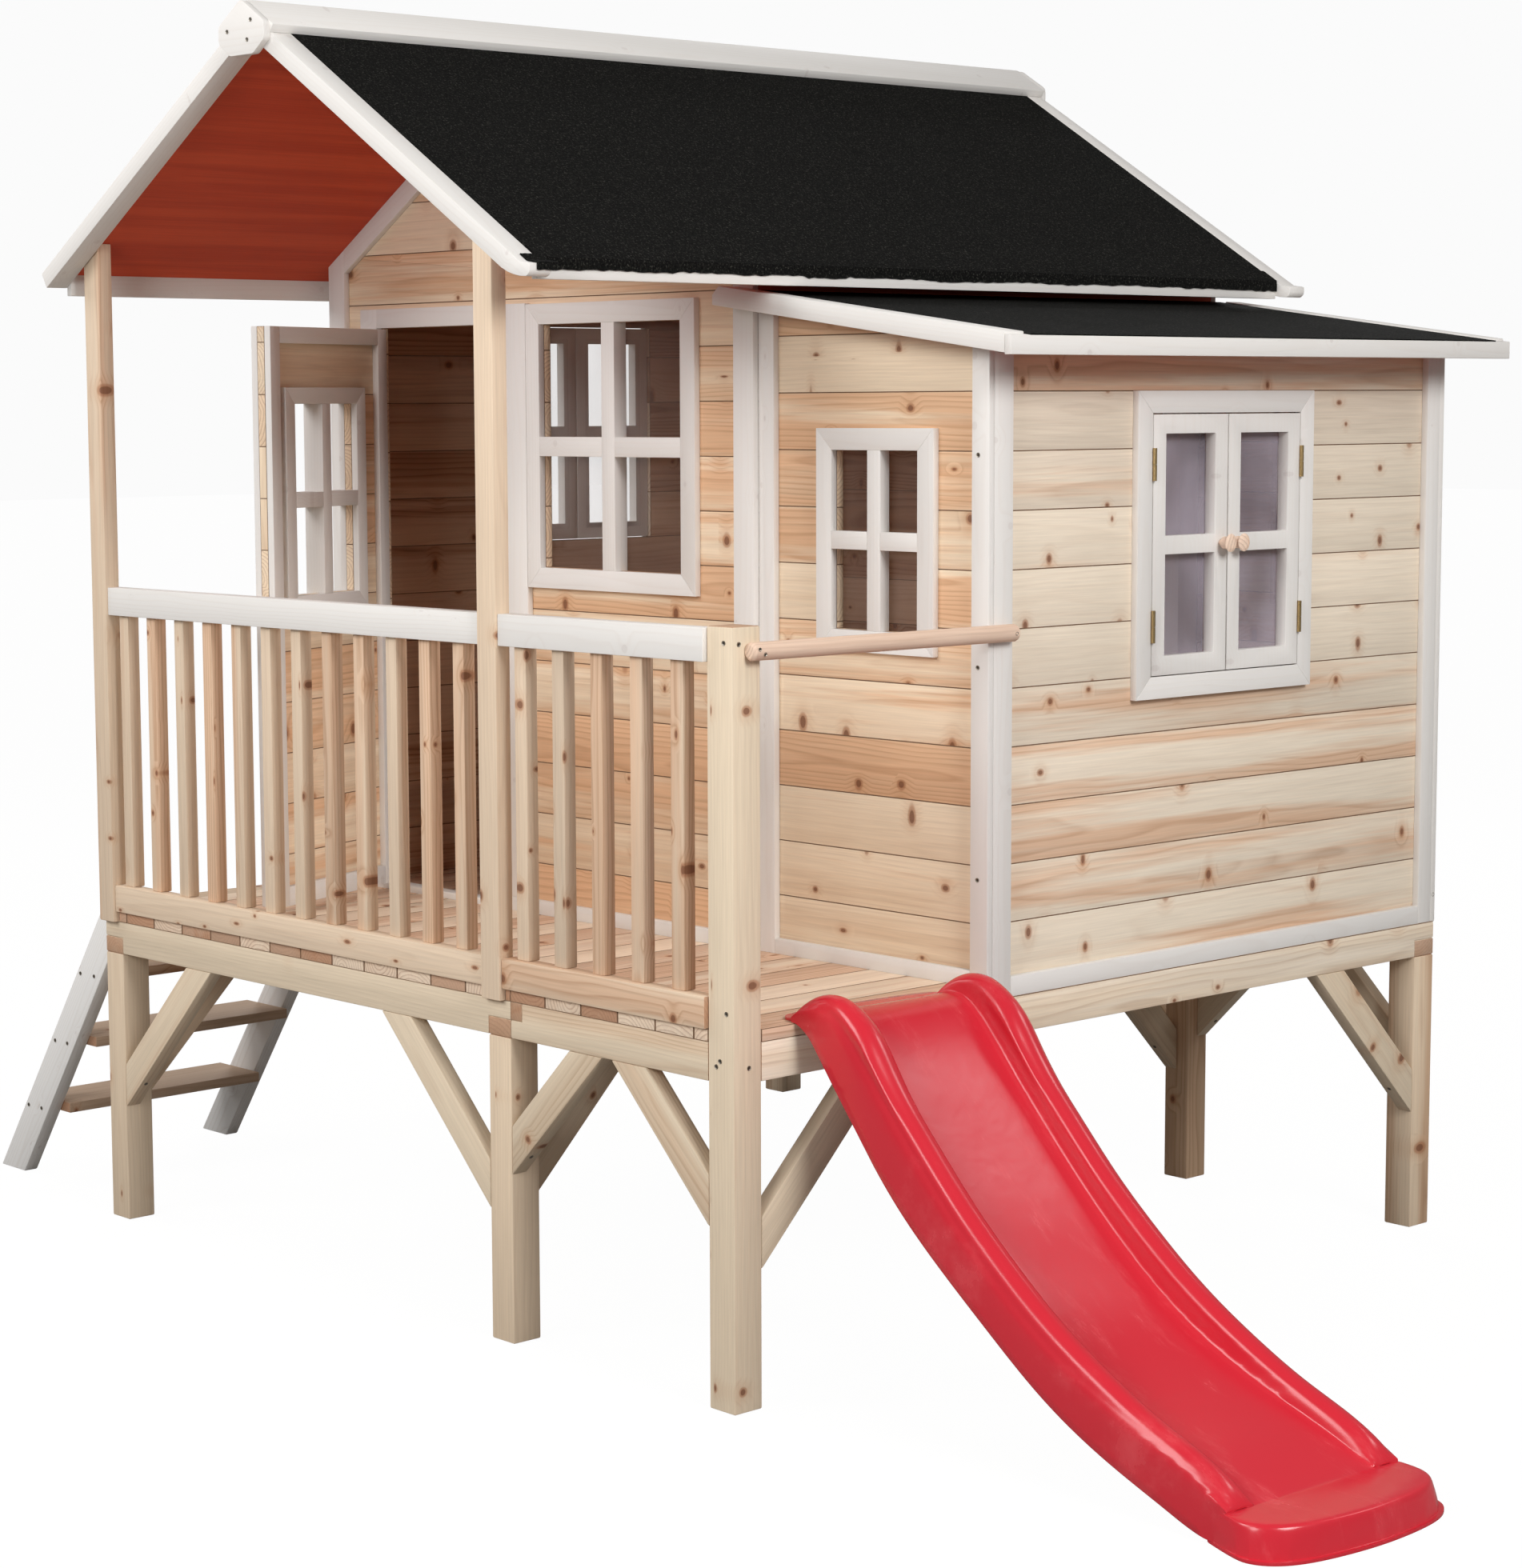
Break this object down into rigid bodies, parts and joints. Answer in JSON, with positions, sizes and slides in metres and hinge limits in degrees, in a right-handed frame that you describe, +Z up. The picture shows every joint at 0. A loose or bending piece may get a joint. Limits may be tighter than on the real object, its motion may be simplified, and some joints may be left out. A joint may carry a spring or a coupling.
{
  "type": "stilt playhouse",
  "caption": "Wooden playhouse on stilts with a porch, a lean-to room, a hinged door, opening casements, a ladder and a moulded slide.",
  "frame": {"origin": "centre of the bounding box on the ground under the feet", "axes": "+X from the ladder towards the slide, +Y from the porch towards the back wall, +Z up"},
  "size_m": [3.2638, 1.941, 2.2019],
  "materials": {
    "spruce": "bare planed softwood with small knots",
    "white_stain": "thin off-white water stain over planed softwood",
    "grey_white_stain": "thin greyish white stain",
    "tread_wood": "brown stained softwood",
    "beech": "turned and sanded",
    "red_brown_stain": "red-brown stain over plywood",
    "roof_felt": "fine gritted bitumen felt",
    "red_plastic": "glossy moulded polyethylene",
    "tinted_pane": "clear sheet with a faint tint",
    "hinge_brass": "brass-plated steel"
  },
  "bodies": {
    "house": {"annex_beams": "spruce", "annex_wall_boards": "spruce", "back_wall_boards": "spruce", "balusters": "spruce", "barge_timbers": "white_stain", "base_trims": "white_stain", "bottom_rails": "spruce", "braces": "spruce", "casement_casings": "white_stain", "casement_hinge_pins": "hinge_brass", "corner_post": "spruce", "corner_trims": "white_stain", "deck_boards": "spruce", "deck_joists": "spruce", "door_casing": "white_stain", "door_hinge_pins": "hinge_brass", "eave_fascias": "white_stain", "front_wall_boards": "spruce", "gable_trims": "white_stain", "grab_bar": "beech", "ladder_cleat": "spruce", "ladder_stringers": "grey_white_stain", "ladder_treads": "tread_wood", "left_wall_boards": "spruce", "legs": "spruce", "main_beams": "spruce", "partition_frame": "white_stain", "porch_posts": "spruce", "ridge_cap": "white_stain", "ridge_plates": "white_stain", "roof_felt": "roof_felt", "roof_panels": "red_brown_stain", "slide": "red_plastic", "top_rails": "white_stain", "upper_side_board": "red_brown_stain", "upper_wall_boards": "spruce", "window_bars": "white_stain", "window_casings": "white_stain", "window_panes": "tinted_pane"},
    "door": {"door_boards": "spruce", "door_frame": "white_stain", "door_window_casing": "white_stain", "door_window_bars": "white_stain", "door_hinge_leaves": "hinge_brass"},
    "annex_left_casement": {"annex_left_sash": "white_stain", "annex_left_pane": "tinted_pane", "annex_left_knob": "beech", "annex_left_hinges": "hinge_brass"},
    "annex_right_casement": {"annex_right_sash": "white_stain", "annex_right_pane": "tinted_pane", "annex_right_knob": "beech", "annex_right_hinges": "hinge_brass"},
    "side_left_casement": {"side_left_sash": "white_stain", "side_left_pane": "tinted_pane", "side_left_knob": "beech", "side_left_hinges": "hinge_brass"},
    "side_right_casement": {"side_right_sash": "white_stain", "side_right_pane": "tinted_pane", "side_right_knob": "beech", "side_right_hinges": "hinge_brass"}
  },
  "joints": [
    {"name": "door_hinge", "type": "hinge", "parent": "house", "child": "door", "pos_m": [-0.97069, -0.3665, 1.135], "axis": [0, 0, 1], "range_deg": [-50, 70]},
    {"name": "annex_left_casement_hinge", "type": "hinge", "parent": "house", "child": "annex_left_casement", "pos_m": [0.6268, 0.05197, 1.2843], "axis": [0, 0, -1], "range_deg": [0, 110]},
    {"name": "annex_right_casement_hinge", "type": "hinge", "parent": "house", "child": "annex_right_casement", "pos_m": [0.6268, 0.44298, 1.2843], "axis": [0, 0, 1], "range_deg": [0, 110]},
    {"name": "side_left_casement_hinge", "type": "hinge", "parent": "house", "child": "side_left_casement", "pos_m": [-1.1152, 0.05599, 1.463], "axis": [0, 0, 1], "range_deg": [0, 110]},
    {"name": "side_right_casement_hinge", "type": "hinge", "parent": "house", "child": "side_right_casement", "pos_m": [-1.1152, 0.44701, 1.463], "axis": [0, 0, -1], "range_deg": [0, 110]}
  ]
}
